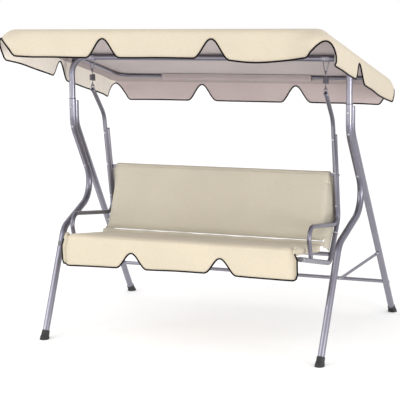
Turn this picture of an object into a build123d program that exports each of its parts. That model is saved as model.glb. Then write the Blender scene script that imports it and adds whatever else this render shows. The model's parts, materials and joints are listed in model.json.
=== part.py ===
"""Canopy swing bench: a bent-tube stand, a tilting fabric canopy and a hanging three-seat bench.

Millimetres, +Z up, +X to the right, front of the bench towards -Y, floor at Z = 0.
Side views are drawn as (y, z), where y is measured backwards from the beam that carries the bench.
"""
import os
from math import atan2, cos, hypot, radians, sin, tan

from build123d import *

os.makedirs("parts", exist_ok=True)

SIDES = (("left", -1), ("right", 1))

# ---- stand ----
beam_y = -102.0            # the beam's place in the model, so that the footprint is centred
half_span = 757.5          # beam end to the middle of the bench
toe_angle = radians(2.9)   # each side frame splays outwards towards the rear
leg_od = 35.0
leg_wall = 1.2
leg_gap = 0.5              # between the front and the rear leg tubes where they run together
leg_lean = 0.69            # rearward run per unit of height of both upper legs
leg_top_z = 1207.0
rear_foot_y = 777.0
front_foot_y = -415.0
front_foot_lean = 0.5
knee_line_z = 592.0        # height of the front leg's forward run below the beam
knee_line_rise = 0.36
upper_bend_radius = 160.0
knee_radius = 126.0
shin_radius = 100.0
foot_stand_off = 18.0      # tube end above the floor, along the leg
foot_height = 45.0         # rubber cap, along the leg

# ---- beam and crossbar ----
beam_od = 32.0
beam_wall = 1.2
beam_z = 1428.0
beam_bend_radius = 90.0
beam_plug_z = 1137.0       # lower end of the beam, inside the front leg
crossbar_od = 20.0
crossbar_z = 197.0
crossbar_wall = 1.0
brace_od = 16.0
brace_foot_x = 538.0
brace_top_z = 392.0

# ---- canopy ----
roof_half_x = 812.0
roof_front_y = -604.0
roof_rear_y = 643.0
roof_front_z = 1592.0      # roof plane above the front valance
roof_slope = 0.2331
roof_corner = 42.0
valance_drop = 141.0
fabric = 2.5
notch_height = 89.0
notch_half_width = 88.0
front_notch_x = 276.0
canopy_tube_od = 19.0
canopy_tube_wall = 1.2
canopy_side_x = 762.0
canopy_corner_radius = 55.0
pivot_bolt_od = 8.0
pivot_clearance = 0.06
canopy_split_front_y = -430.0
canopy_split_rear_y = 480.0

spigot_length = 45.0
spigot_clearance = 0.1
bracket_wall = 3.0

# ---- hangers ----
hang_x = 637.0
loop_wire = 5.0
loop_pivot_z = 1360.0
seat_pivot_z = 1281.0
spring_wire = 4.0
spring_mean_radius = 13.2
spring_turns = 7.0
spring_pitch = 4.4
hook_radius = 8.0
saddle_wall = 2.0

# ---- bench ----
arm_od = 22.0
arm_wall = 1.2
frame_od = 25.0
frame_wall = 1.2
rail_od = 22.0
back_rail_od = 19.0
frame_gap = 0.5
arm_lean = 0.166           # forward lean of the arm and the upright above the seat
arm_line_y = 312.7         # y of that line at the floor
upright_top_z = 1035.0
front_rail = (-385.0, 500.8)
rear_rail = (115.0, 434.0)
back_rail_z = 828.0
cushion_half_x = 608.0
seat_cushion_thick = 40.0
back_cushion_thick = 36.0
back_lean = radians(23.5)
support_x = 215.0
support_od = 16.0
support_wall = 1.2
tab_thick = 3.0            # flattened tube ends and welded tabs
tab_gap = 0.1              # between an end and the tube it meets

# ---- fasteners ----
bolt_od = 6.0
bolt_hole_od = 6.6
head_od = 13.0
head_height = 4.5
nut_od = 11.5
nut_height = 5.0
seat_gap = 0.6             # between a head or nut and the round tube it bears on


# ---------------------------------------------------------------- planes and helpers
def side_plane(side):
    """The upright plane of one side frame, splayed by the toe angle; local axes are (y, z)."""
    across = (side * sin(toe_angle), cos(toe_angle), 0)
    outward = (cos(toe_angle), -side * sin(toe_angle), 0)
    return Plane(origin=(side * half_span, beam_y, 0), x_dir=across, z_dir=outward)


def straight_plane(x):
    """An upright fore-and-aft plane at x; local axes are (y, z)."""
    return Plane(origin=(x, beam_y, 0), x_dir=(0, 1, 0), z_dir=(1, 0, 0))


def cross_plane(y):
    """An upright plane across the bench, y behind the beam; local axes are (x, z)."""
    return Plane(origin=(0, beam_y + y, 0), x_dir=(1, 0, 0), z_dir=(0, -1, 0))


def axis_plane(plane, point, direction):
    """A plane at a side-view point, with its normal along a side-view direction."""
    normal = plane.x_dir * direction[0] + plane.y_dir * direction[1]
    return Plane(origin=plane.from_local_coords((point[0], point[1], 0)), z_dir=normal)


def bent_tube(plane, points, radii, od, wall):
    """A round tube along straight runs joined by bends, drawn in one plane."""
    with BuildPart() as tube:
        with BuildLine(plane) as route:
            if len(points) > 2:
                FilletPolyline(*points, radius=radii)
            else:
                Line(*points)
        start = Plane(origin=route.line @ 0, z_dir=route.line % 0)
        with BuildSketch(start):
            Circle(od / 2)
            Circle(od / 2 - wall, mode=Mode.SUBTRACT)
        sweep(path=route.line)
    return tube.part


def drilled(body, bolts, bore=bolt_hole_od):
    """The body with a through hole on each bolt axis."""
    with BuildPart() as piece:
        add(body)
        for bolt_plane, grip in bolts:
            with Locations(bolt_plane.offset(-grip / 2)):
                Cylinder(bore / 2, grip + 4 * nut_height, mode=Mode.SUBTRACT)
    return piece.part


def bolt_set(bolts, nuts=True):
    """Dome-head bolts, with hex nuts or threaded into an end plug, one solid for each bolt."""
    with BuildPart() as group:
        for bolt_plane, grip in bolts:
            under_head = bolt_plane.offset(seat_gap)
            with BuildSketch(under_head):
                Circle(head_od / 2)
            extrude(amount=head_height, taper=24)
            with BuildSketch(under_head):
                Circle(bolt_od / 2)
            extrude(amount=-(grip + nut_height + 3))
            if nuts:
                with BuildSketch(bolt_plane.offset(-grip - seat_gap)):
                    RegularPolygon(nut_od / 2, 6)
                extrude(amount=-nut_height)
    return group.part


def save(body, name):
    """Names the finished piece and writes its file."""
    body.label = name
    export_step(body, f"parts/{name}.step")


# ---------------------------------------------------------------- stand
leg_angle = atan2(leg_lean, 1)
leg_pitch = leg_od + leg_gap
front_line_y = rear_foot_y - leg_pitch / cos(leg_angle)
front_bend_z = front_line_y / leg_lean
rear_bend_z = (rear_foot_y - leg_pitch) / leg_lean
knee_y = (front_line_y - leg_lean * knee_line_z) / (1 + leg_lean * knee_line_rise)
shin_y = (front_foot_y + front_foot_lean * knee_line_z) / (1 - front_foot_lean * knee_line_rise)
knee = (knee_y, knee_line_z + knee_line_rise * knee_y)
shin = (shin_y, knee_line_z + knee_line_rise * shin_y)


def foot_point(foot_y, lean, distance):
    """A side-view point on a leg's axis, a distance up from where it meets the floor."""
    length = hypot(lean, 1)
    return (foot_y + lean / length * distance, distance / length)


def leg_bolts(side):
    """Three bolts that clamp the front and rear legs together, heads at the front."""
    plane = side_plane(side)
    half_bend = leg_angle / 2
    bend_centre_z = front_bend_z + upper_bend_radius * tan(half_bend)
    bend_y = upper_bend_radius * (1 - cos(half_bend))
    bend_z = bend_centre_z - upper_bend_radius * sin(half_bend)
    low_z = 845.0
    low_y = front_line_y - leg_lean * low_z
    spots = (
        ((0.0, 1165.0), 0.0),
        ((bend_y, bend_z), half_bend),
        ((low_y, low_z), leg_angle),
    )
    grip = leg_od + leg_pitch
    bolts = []
    for (y, z), angle in spots:
        forward = (-cos(angle), -sin(angle))
        head = (y + forward[0] * leg_od / 2, z + forward[1] * leg_od / 2)
        bolts.append((axis_plane(plane, head, forward), grip))
    return bolts


def crossbar_bolts(side):
    """The bolt through a rear leg into the end of the crossbar, head outside."""
    plane = side_plane(side)
    y = rear_foot_y - leg_lean * crossbar_z
    outside = plane.from_local_coords((y, crossbar_z, side * leg_od / 2))
    return [(Plane(origin=outside, z_dir=plane.z_dir * side), leg_od)]


def brace_ends(side):
    """World points where a brace is bolted, on the crossbar and on the rear leg."""
    bar_y = rear_foot_y - leg_lean * crossbar_z
    low = Vector(side * brace_foot_x, beam_y + bar_y - crossbar_od / 2, crossbar_z)
    forward = (-cos(leg_angle), -sin(leg_angle))
    leg_y = rear_foot_y - leg_lean * brace_top_z
    front = (leg_y + forward[0] * leg_od / 2, brace_top_z + forward[1] * leg_od / 2)
    return low, axis_plane(side_plane(side), front, forward)




def brace_bolts(side):
    """One bolt through the crossbar and one through the leg, heads on the brace's tabs."""
    low, leg_seat = brace_ends(side)
    bar_seat = Plane(origin=low, z_dir=(0, -1, 0))
    head_lift = tab_thick + tab_gap
    return [
        (bar_seat.offset(head_lift), crossbar_od + head_lift),
        (leg_seat.offset(head_lift), leg_od + head_lift),
    ]


def front_leg(side):
    """One front leg: socket at the top, a knee out to the rear, then down to the front foot."""
    points = (
        (0.0, leg_top_z),
        (0.0, front_bend_z),
        knee,
        shin,
        foot_point(front_foot_y, front_foot_lean, foot_stand_off),
    )
    radii = (upper_bend_radius, knee_radius, shin_radius)
    tube = bent_tube(side_plane(side), points, radii, leg_od, leg_wall)
    return drilled(tube, leg_bolts(side))


def rear_leg(side):
    """One rear leg: bolted behind the front leg, then straight down to the rear foot."""
    points = (
        (leg_pitch, leg_top_z - 12),
        (leg_pitch, rear_bend_z),
        foot_point(rear_foot_y, -leg_lean, foot_stand_off),
    )
    radii = (upper_bend_radius - leg_pitch,)
    tube = bent_tube(side_plane(side), points, radii, leg_od, leg_wall)
    holes = leg_bolts(side) + crossbar_bolts(side) + brace_bolts(side)[1:]
    return drilled(tube, holes)


def foot_cap(side, foot_y, lean):
    """A rubber cap on a slanted leg, flared at the floor and cut off level."""
    plane = side_plane(side)
    axis = (lean / hypot(lean, 1), 1 / hypot(lean, 1))
    base = axis_plane(plane, (foot_y, 0.0), axis)
    skirt = 30.0
    with BuildPart() as cap:
        with BuildSketch(base.offset(-skirt)):
            Circle(leg_od / 2 + 9)
        with BuildSketch(base.offset(12)):
            Circle(leg_od / 2 + 6)
        with BuildSketch(base.offset(20)):
            Circle(leg_od / 2 + 3.4)
        with BuildSketch(base.offset(foot_height)):
            Circle(leg_od / 2 + 2.6)
        loft(ruled=True)
        with BuildSketch(base.offset(foot_stand_off)):
            Circle(leg_od / 2)
        extrude(amount=60, mode=Mode.SUBTRACT)
        split(bisect_by=Plane.XY, keep=Keep.TOP)
    return cap.part


def top_beam():
    """The cross beam, bent down at both ends into the tops of the front legs."""
    points = (
        (-half_span, beam_plug_z),
        (-half_span, beam_z),
        (half_span, beam_z),
        (half_span, beam_plug_z),
    )
    radii = beam_bend_radius
    tube = bent_tube(cross_plane(0), points, radii, beam_od, beam_wall)
    holes = [leg_bolts(side)[0] for _, side in SIDES]
    holes += [hanger_bolt(side) for _, side in SIDES]
    return drilled(tube, holes)


def rear_crossbar():
    """The bar between the rear legs, its closed ends shaped to the legs' inner faces."""
    bar_y = rear_foot_y - leg_lean * crossbar_z
    plug = 12.0
    with BuildPart() as bar:
        with BuildSketch(Plane(origin=(-half_span - 60, beam_y + bar_y, crossbar_z), z_dir=(1, 0, 0))):
            Circle(crossbar_od / 2)
        extrude(amount=2 * (half_span + 60))
        for _, side in SIDES:
            plane = side_plane(side)
            spot = (bar_y, crossbar_z)
            leg_axis = axis_plane(plane, spot, (-leg_lean, 1))
            with Locations(leg_axis):
                Cylinder(leg_od / 2 + tab_gap, 200, mode=Mode.SUBTRACT)
        bore = half_span - plug - leg_od / 2
        with Locations(Plane(origin=(0, beam_y + bar_y, crossbar_z), z_dir=(1, 0, 0))):
            Cylinder(crossbar_od / 2 - crossbar_wall, 2 * bore, mode=Mode.SUBTRACT)
    middle = bar.part.solids().sort_by(SortBy.VOLUME)[-1]
    holes = [bolt for _, side in SIDES for bolt in crossbar_bolts(side) + brace_bolts(side)[:1]]
    return drilled(middle, holes)


def corner_brace(side):
    """A small tube with flattened ends, from the crossbar up to the rear leg."""
    low, leg_seat = brace_ends(side)
    tab_length = 34.0
    tab_width = 18.0
    tube_inset = 14.0
    lift = tab_gap + tab_thick / 2
    foot = low + Vector(0, -lift, 0)
    head = leg_seat.offset(lift).origin
    run = (head - foot).normalized()
    with BuildPart() as brace:
        for end, seat, way in ((foot, Plane(origin=low, z_dir=(0, -1, 0)), 1), (head, leg_seat, -1)):
            along = run * way
            flat = along - seat.z_dir * along.dot(seat.z_dir)
            tab = Plane(origin=seat.origin + seat.z_dir * tab_gap, x_dir=flat, z_dir=seat.z_dir)
            with BuildSketch(tab):
                with Locations((tab_length / 2 - tab_width / 2, 0)):
                    SlotOverall(tab_length, tab_width)
            extrude(amount=tab_thick)
        tube_length = (head - foot).length - 2 * tube_inset
        with BuildSketch(Plane(origin=foot + run * tube_inset, z_dir=run)):
            Circle(brace_od / 2)
        extrude(amount=tube_length)
        bar_y = rear_foot_y - leg_lean * crossbar_z
        with Locations(Plane(origin=(0, beam_y + bar_y, crossbar_z), z_dir=(1, 0, 0))):
            Cylinder(crossbar_od / 2 + tab_gap, 2 * half_span, mode=Mode.SUBTRACT)
        leg_axis = axis_plane(side_plane(side), (rear_foot_y - leg_lean * 300, 300), (-leg_lean, 1))
        with Locations(leg_axis):
            Cylinder(leg_od / 2 + tab_gap, 500, mode=Mode.SUBTRACT)
    return drilled(brace.part, brace_bolts(side))


# ---------------------------------------------------------------- hangers on the beam


def hanger_bolt(side):
    """The bolt that holds a hanger saddle on the beam, head at the front."""
    outside = beam_od / 2 + 0.1 + saddle_wall
    head = Plane(origin=(side * hang_x, beam_y - outside, beam_z), z_dir=(0, -1, 0))
    return (head, 2 * outside)


def hanger_bracket(side):
    """A saddle bolted round the beam's underside, with a V of wire that the spring hooks into."""
    centre = Plane(origin=(side * hang_x - 20, beam_y, beam_z), x_dir=(0, 1, 0), z_dir=(1, 0, 0))
    inner = beam_od / 2 + 0.1
    outer = inner + saddle_wall
    lip = 8.0
    saddle_bottom_z = beam_z - outer
    with BuildPart() as bracket:
        with BuildSketch(centre):
            Circle(outer)
            with Locations((0, lip / 2)):
                Rectangle(2 * outer, lip)
            with Locations((0, lip + outer)):
                Rectangle(4 * outer, 2 * outer, mode=Mode.SUBTRACT)
            Circle(inner, mode=Mode.SUBTRACT)
            with Locations((0, outer / 2)):
                Rectangle(2 * inner, outer, mode=Mode.SUBTRACT)
        extrude(amount=40)
        x = side * hang_x
        points = (
            (x - 14, saddle_bottom_z + 1.5),
            (x - 13, saddle_bottom_z - 8),
            (x - 5, loop_pivot_z),
            (x + 5, loop_pivot_z),
            (x + 13, saddle_bottom_z - 8),
            (x + 14, saddle_bottom_z + 1.5),
        )
        with BuildLine(cross_plane(0)) as wire:
            FilletPolyline(*points, radius=(6, 4.5, 4.5, 6))
        with BuildSketch(Plane(origin=wire.line @ 0, z_dir=wire.line % 0)):
            Circle(loop_wire / 2)
        sweep(path=wire.line)
    return drilled(bracket.part, [hanger_bolt(side)])


def hanger_spring(side):
    """An extension spring with a ring at each end, hanging in the V of its bracket."""
    x = side * hang_x
    clearance = 1.0
    reach = hook_radius - spring_wire / 2 - loop_wire / 2 - clearance
    upper_ring_z = loop_pivot_z - reach
    lower_ring_z = seat_pivot_z + reach
    coil_height = spring_turns * spring_pitch
    middle_z = (upper_ring_z + lower_ring_z) / 2
    coil_base_z = middle_z - coil_height / 2
    with BuildPart() as spring:
        with BuildLine():
            turn = Helix(spring_pitch, coil_height, spring_mean_radius, center=(x, beam_y, coil_base_z))
        with BuildSketch(Plane(origin=turn @ 0, z_dir=turn % 0)):
            Circle(spring_wire / 2)
        sweep(path=turn, is_frenet=True)
        for end, coil_z, ring_z in (
            (turn @ 0, coil_base_z, lower_ring_z + hook_radius),
            (turn @ 1, coil_base_z + coil_height, upper_ring_z - hook_radius),
        ):
            spoke = (Vector(x, beam_y, coil_z) - end).normalized()
            with BuildSketch(Plane(origin=end - spoke * 0.6, z_dir=spoke)):
                Circle(spring_wire / 2 - 0.15)
            extrude(amount=spring_mean_radius + 0.6 + spring_wire / 4)
            with BuildSketch(Plane(origin=(x, beam_y, coil_z), z_dir=(0, 0, 1))):
                Circle(spring_wire / 2)
            extrude(amount=ring_z - coil_z)
        for ring_z in (upper_ring_z, lower_ring_z):
            with Locations(Location((x, beam_y, ring_z), (0, 90, 0))):
                Torus(hook_radius, spring_wire / 2)
    return spring.part


# ---------------------------------------------------------------- canopy
roof_angle = atan2(roof_slope, 1)


def roof_z(y):
    """Height of the roof plane's outer face at y."""
    return roof_front_z - roof_slope * (y - roof_front_y)


canopy_pivot_z = roof_z(0) - (fabric + canopy_tube_od / 2 + 1) / cos(roof_angle)


def canopy_envelope(inset):
    """The filled outer shape of the canopy, shrunk by the inset, open end downwards."""
    half_x = roof_half_x - inset
    front = roof_front_y + inset
    rear = roof_rear_y - inset
    lift = -inset / cos(roof_angle)
    hem = -valance_drop - inset
    with BuildPart() as block:
        with BuildSketch(straight_plane(-half_x)):
            Polygon(
                (front, roof_z(front) + lift),
                (front, roof_z(front) + hem),
                (rear, roof_z(rear) + hem),
                (rear, roof_z(rear) + lift),
                align=None,
            )
        extrude(amount=2 * half_x)
        fillet(block.edges().filter_by(Axis.Z), roof_corner - inset)
        top = block.faces().sort_by(Axis.Z)[-1]
        fillet(top.edges(), roof_corner - inset - 4)
    return block.part


def notch_profile():
    """The bell-shaped gap between two scallops, its foot on the hem line."""
    foot = (-notch_half_width, 0)
    peak = (0, notch_height)
    with BuildSketch(mode=Mode.PRIVATE) as bell:
        with BuildLine():
            Spline(foot, peak, tangents=[(1, 0), (1, 0)])
            Spline(peak, (notch_half_width, 0), tangents=[(1, 0), (1, 0)])
            Polyline((notch_half_width, 0), (notch_half_width, -60), (-notch_half_width, -60), foot)
        make_face()
    return bell.sketch


def canopy_fabric():
    """The canopy cover: a sloping roof with a scalloped valance all round, open below."""
    bell = notch_profile()
    depth = 90.0
    with BuildPart() as cover:
        add(canopy_envelope(0))
        add(canopy_envelope(fabric), mode=Mode.SUBTRACT)
        for y in (roof_front_y, roof_rear_y):
            for x in (-front_notch_x, front_notch_x):
                hem_z = roof_z(y) - valance_drop
                with BuildSketch(Plane(origin=(x, beam_y + y, hem_z), x_dir=(1, 0, 0), z_dir=(0, -1, 0))):
                    add(bell)
                extrude(amount=depth / 2, both=True, mode=Mode.SUBTRACT)
        for _, side in SIDES:
            middle_y = (roof_front_y + roof_rear_y) / 2 - 45
            hem = (side * roof_half_x, beam_y + middle_y, roof_z(middle_y) - valance_drop)
            along = (0, cos(roof_angle), -sin(roof_angle))
            with BuildSketch(Plane(origin=hem, x_dir=along, z_dir=(1, 0, 0))):
                add(bell)
            extrude(amount=depth / 2, both=True, mode=Mode.SUBTRACT)
            for y, way in ((roof_front_y, -1), (roof_rear_y, 1)):
                inset = roof_corner * (1 - cos(radians(45)))
                corner = (side * (roof_half_x - inset), beam_y + y - way * inset, roof_z(y) - valance_drop)
                across = Vector(way * side, -1, 0)
                with BuildSketch(Plane(origin=corner, x_dir=across, z_dir=(side, way, 0))):
                    add(bell)
                extrude(amount=depth / 2, both=True, mode=Mode.SUBTRACT)
    return cover.part


def canopy_plane():
    """The sloping plane of the canopy frame's tube axes; local axes are (x, along the slope)."""
    slope = (0, cos(roof_angle), -sin(roof_angle))
    normal = (0, sin(roof_angle), cos(roof_angle))
    return Plane(origin=(0, beam_y, canopy_pivot_z), x_dir=(1, 0, 0), z_dir=normal)




def canopy_end_rail(end_y, split_y):
    """A bow across one end of the canopy, with spigots that plug into the side tubes."""
    stretch = 1 / cos(roof_angle)
    way = 1 if split_y > end_y else -1
    end = end_y * stretch
    cut = split_y * stretch
    points = ((-canopy_side_x, cut), (-canopy_side_x, end), (canopy_side_x, end), (canopy_side_x, cut))
    bow = bent_tube(canopy_plane(), points, canopy_corner_radius, canopy_tube_od, canopy_tube_wall)
    plane = canopy_plane()
    bore_radius = canopy_tube_od / 2 - canopy_tube_wall
    with BuildPart() as rail:
        add(bow)
        for x in (-canopy_side_x, canopy_side_x):
            joint = Plane(origin=plane.from_local_coords((x, cut, 0)), z_dir=plane.y_dir * way)
            with BuildSketch(joint):
                Circle(bore_radius - spigot_clearance)
            extrude(amount=spigot_length)
            with BuildSketch(joint):
                Circle(bore_radius)
            extrude(amount=-spigot_length / 2)
    return rail.part


def canopy_pivot_bolt(side):
    """Plane at the outer end of the tilt pivot, its normal pointing outwards."""
    return Plane(origin=(side * canopy_side_x, beam_y, canopy_pivot_z), z_dir=(side, 0, 0))


def canopy_side_tube(side):
    """One side tube of the canopy frame, drilled for the tilt pivot."""
    stretch = 1 / cos(roof_angle)
    x = side * canopy_side_x
    ends = ((x, canopy_split_front_y * stretch), (x, canopy_split_rear_y * stretch))
    tube = bent_tube(canopy_plane(), ends, 0, canopy_tube_od, canopy_tube_wall)
    with BuildPart() as drilled_tube:
        add(tube)
        with Locations(canopy_pivot_bolt(side)):
            Cylinder(pivot_bolt_od / 2 + pivot_clearance, 2 * canopy_tube_od, mode=Mode.SUBTRACT)
    return drilled_tube.part


bracket_inner_x = canopy_side_x - canopy_tube_od / 2 - 6.0


def canopy_bracket(side):
    """An upright plate welded over the beam's bend, which carries the canopy's tilt pivot."""
    foot_z = canopy_pivot_z - 75
    with BuildPart() as plate:
        start = bracket_inner_x if side > 0 else -bracket_inner_x - bracket_wall
        with BuildSketch(straight_plane(start)):
            with Locations((0, (canopy_pivot_z + foot_z) / 2)):
                Rectangle(30, canopy_pivot_z - foot_z)
            with Locations((0, canopy_pivot_z)):
                Circle(9)
                Circle(pivot_bolt_od / 2 + pivot_clearance, mode=Mode.SUBTRACT)
        extrude(amount=bracket_wall)
        with BuildLine(cross_plane(0)) as bend:
            FilletPolyline(
                (0, beam_z),
                (side * half_span, beam_z),
                (side * half_span, beam_plug_z),
                radius=beam_bend_radius,
            )
        with BuildSketch(Plane(origin=bend.line @ 0, z_dir=bend.line % 0)):
            Circle(beam_od / 2 + 0.05)
        sweep(path=bend.line, mode=Mode.SUBTRACT)
    return plate.part.solids().sort_by(Axis.Z)[-1]


def canopy_pivot(side):
    """The tilt pivot bolt: a shouldered pin from the bracket through the side tube."""
    inner = bracket_inner_x - 5
    outer = canopy_side_x + canopy_tube_od / 2 + 9
    base = Plane(origin=(side * inner, beam_y, canopy_pivot_z), z_dir=(side, 0, 0))
    with BuildPart() as pin:
        with BuildSketch(base):
            RegularPolygon(7.5, 6)
        extrude(amount=5)
        with BuildSketch(base):
            Circle(pivot_bolt_od / 2)
        extrude(amount=outer - inner)
        spacer_start = bracket_inner_x + bracket_wall
        with BuildSketch(base.offset(spacer_start - inner)):
            Circle(6.5)
        extrude(amount=2.5)
    return pin.part


def canopy_wing_nut(side):
    """A wing nut that clamps the canopy at the chosen tilt."""
    start = canopy_side_x + canopy_tube_od / 2 + 0.5
    base = Plane(origin=(side * start, beam_y, canopy_pivot_z), x_dir=(0, 1, 0), z_dir=(side, 0, 0))
    with BuildPart() as nut:
        with BuildSketch(base):
            Circle(6.5)
            SlotOverall(26, 5)
        extrude(amount=9)
        with Locations(base):
            Cylinder(pivot_bolt_od / 2 + pivot_clearance, 40, mode=Mode.SUBTRACT)
    return nut.part


# ---------------------------------------------------------------- bench frame
arm_angle = atan2(arm_lean, 1)
upright_line_y = arm_line_y + ((arm_od + frame_od) / 2 + frame_gap) / cos(arm_angle)
arm_top = (0.0, seat_pivot_z - 20)
arm_elbow = (arm_line_y - arm_lean * 1117, 1117.0)
arm_rest_rear = (arm_line_y - arm_lean * 573, 573.0)
arm_rest_front = (-290.0, 640.0)
bar_slope = -0.227
bar_z = 413.4
arm_foot = (-232.0, bar_z + bar_slope * -232.0)
upright_low = (upright_line_y - arm_lean * 605, 605.0)
bar_corner = (86.4, bar_z + bar_slope * 86.4)
bar_front = (-401.0, bar_z + bar_slope * -401.0)


def arm_bolts(side):
    """Three bolts that clamp the hanger arm to the upright, heads at the front."""
    plane = straight_plane(side * hang_x)
    forward = (-cos(arm_angle), -sin(arm_angle))
    grip = arm_od + frame_gap + frame_od
    bolts = []
    for z in (1018.0, 845.0, 672.0):
        y = arm_line_y - arm_lean * z
        head = (y + forward[0] * arm_od / 2, z + forward[1] * arm_od / 2)
        bolts.append((axis_plane(plane, head, forward), grip))
    return bolts


def rail_bolts(side):
    """The bolts through a seat side frame into the ends of the three rails, heads outside."""
    back_y = upright_line_y - arm_lean * back_rail_z
    bolts = []
    for y, z in (front_rail, rear_rail, (back_y, back_rail_z)):
        outside = (side * (hang_x + frame_od / 2), beam_y + y, z)
        bolts.append((Plane(origin=outside, z_dir=(side, 0, 0)), frame_od))
    return bolts


def hanger_arm(side):
    """One hanger arm: an eye at the top, down beside the back, then forward as the armrest."""
    plane = straight_plane(side * hang_x)
    x = side * hang_x
    points = (arm_top, arm_elbow, arm_rest_rear, arm_rest_front, arm_foot)
    radii = (120.0, 50.0, 55.0)
    tube = bent_tube(plane, points, radii, arm_od, arm_wall)
    eye_half = 8.0
    apex_z = seat_pivot_z
    shoulder_z = arm_top[1] - 14
    wire_points = (
        (x - eye_half, shoulder_z),
        (x - eye_half, apex_z),
        (x + eye_half, apex_z),
        (x + eye_half, shoulder_z),
    )
    bar_axis = axis_plane(plane, arm_foot, (1, bar_slope))
    with BuildPart() as arm:
        add(tube)
        with BuildLine(cross_plane(0)) as wire:
            FilletPolyline(*wire_points, radius=5)
        with BuildSketch(Plane(origin=wire.line @ 0, z_dir=wire.line % 0)):
            Circle(loop_wire / 2)
        sweep(path=wire.line)
        top = Plane(origin=(x, beam_y, arm_top[1]), z_dir=(0, arm_elbow[0], arm_elbow[1] - arm_top[1]))
        with BuildSketch(top):
            Circle(arm_od / 2)
        extrude(amount=12)
        with Locations(bar_axis):
            Cylinder(frame_od / 2 + tab_gap, 160, mode=Mode.SUBTRACT)
    body = arm.part.solids().sort_by(SortBy.VOLUME)[-1]
    return drilled(body, arm_bolts(side))


def seat_side_frame(side):
    """One L of the seat frame: the upright behind the arm, turned forward under the seat."""
    plane = straight_plane(side * hang_x)
    top_y = upright_line_y - arm_lean * upright_top_z
    points = ((top_y, upright_top_z), upright_low, bar_corner, bar_front)
    tube = bent_tube(plane, points, (80.0, 60.0), frame_od, frame_wall)
    return drilled(tube, arm_bolts(side) + rail_bolts(side))


def cross_rail(y, z, od):
    """A rail between the two seat side frames, closed at both ends and drilled for its bolts."""
    half = hang_x - frame_od / 2 - tab_gap
    end_wall = 5.0
    with BuildPart() as rail:
        with Locations(Location((0, beam_y + y, z), (0, 90, 0))):
            Cylinder(od / 2, 2 * half)
            Cylinder(od / 2 - 1.2, 2 * (half - end_wall), mode=Mode.SUBTRACT)
            Cylinder(bolt_hole_od / 2, 2 * half, mode=Mode.SUBTRACT)
    return rail.part


def seat_supports():
    """Two tubes from the front rail to the rear rail, their ends shaped to the rails."""
    rise = rear_rail[1] - front_rail[1]
    run = rear_rail[0] - front_rail[0]
    with BuildPart() as supports:
        for x in (-support_x, support_x):
            start = Plane(origin=(x, beam_y + front_rail[0], front_rail[1]), z_dir=(0, run, rise))
            with BuildSketch(start):
                Circle(support_od / 2)
                Circle(support_od / 2 - support_wall, mode=Mode.SUBTRACT)
            extrude(amount=hypot(run, rise))
        for y, z in (front_rail, rear_rail):
            with Locations(Location((0, beam_y + y, z), (0, 90, 0))):
                Cylinder(rail_od / 2 + tab_gap, 2 * hang_x, mode=Mode.SUBTRACT)
    return supports.part


def frame_plugs():
    """Plastic plugs in the four open ends of the seat side frames."""
    top_y = upright_line_y - arm_lean * upright_top_z
    with BuildPart() as plugs:
        for _, side in SIDES:
            plane = straight_plane(side * hang_x)
            for point, direction in (
                ((top_y, upright_top_z), (-arm_lean, 1)),
                (bar_front, (-1, -bar_slope)),
            ):
                seat = axis_plane(plane, point, direction)
                with BuildSketch(seat):
                    Circle(frame_od / 2)
                extrude(amount=2.5)
                with BuildSketch(seat):
                    Circle(frame_od / 2 - frame_wall - 0.1)
                extrude(amount=-8)
    return plugs.part


# ---------------------------------------------------------------- soft pieces
seat_slope = (rear_rail[1] - front_rail[1]) / (rear_rail[0] - front_rail[0])
seat_angle = atan2(seat_slope, 1)


def cushion_block(corners, half_x, softness, end_softness):
    """A plain cushion: a side-view outline carried across the seat, with softened edges."""
    with BuildPart() as block:
        with BuildSketch(straight_plane(-half_x)) as outline:
            Polygon(*corners, align=None)
            fillet(outline.vertices(), softness)
        extrude(amount=2 * half_x)
        ends = block.faces().filter_by(Axis.X)
        fillet(ends.edges(), end_softness)
    return block.part


def seat_cushion():
    """The seat cushion, lying on the front rail, the supports and the rear rail."""
    base = rail_od / 2 + 1.5
    rear_y = 42.0
    front_y = -428.0
    bottom_front = front_rail[1] + base / cos(seat_angle) + seat_slope * (front_y - front_rail[0])
    bottom_rear = front_rail[1] + base / cos(seat_angle) + seat_slope * (rear_y - front_rail[0])
    thick = seat_cushion_thick / cos(seat_angle)
    corners = (
        (front_y, bottom_front),
        (rear_y, bottom_rear),
        (rear_y, bottom_rear + thick),
        (front_y, bottom_front + thick),
    )
    return cushion_block(corners, cushion_half_x, 16, 8)


def back_cushion():
    """The back cushion, with the back rail running through a sleeve along its top."""
    foot = Vector(36.5, 508.0)
    up = Vector(sin(back_lean), cos(back_lean))
    rearward = Vector(cos(back_lean), -sin(back_lean))
    rail_y = upright_line_y - arm_lean * back_rail_z
    height = (Vector(rail_y, back_rail_z) - foot).dot(up) + 17
    top = foot + up * height
    depth = rearward * back_cushion_thick
    corners = [(p.X, p.Y) for p in (foot, foot + depth, top + depth, top)]
    with BuildPart() as cushion:
        add(cushion_block(corners, cushion_half_x, 15, 6))
        with Locations(Location((0, beam_y + rail_y, back_rail_z), (0, 90, 0))):
            Cylinder(back_rail_od / 2 + 0.4, 2 * hang_x, mode=Mode.SUBTRACT)
    return cushion.part


def seat_valance():
    """The scalloped skirt that hangs from the seat's front edge."""
    half_x = 613.0
    low_z = 405.0
    high_z = 546.0
    notch_x = 235.0
    front_y = -430.5
    bell = notch_profile()
    with BuildPart() as skirt:
        with BuildSketch(cross_plane(front_y)) as outline:
            with Locations((0, (low_z + high_z) / 2)):
                Rectangle(2 * half_x, high_z - low_z)
            fillet(outline.vertices().group_by(Axis.Y)[0], 30)
            for x in (-notch_x, notch_x):
                with Locations((x, low_z)):
                    add(bell, mode=Mode.SUBTRACT)
        extrude(amount=3)
    return skirt.part


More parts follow.
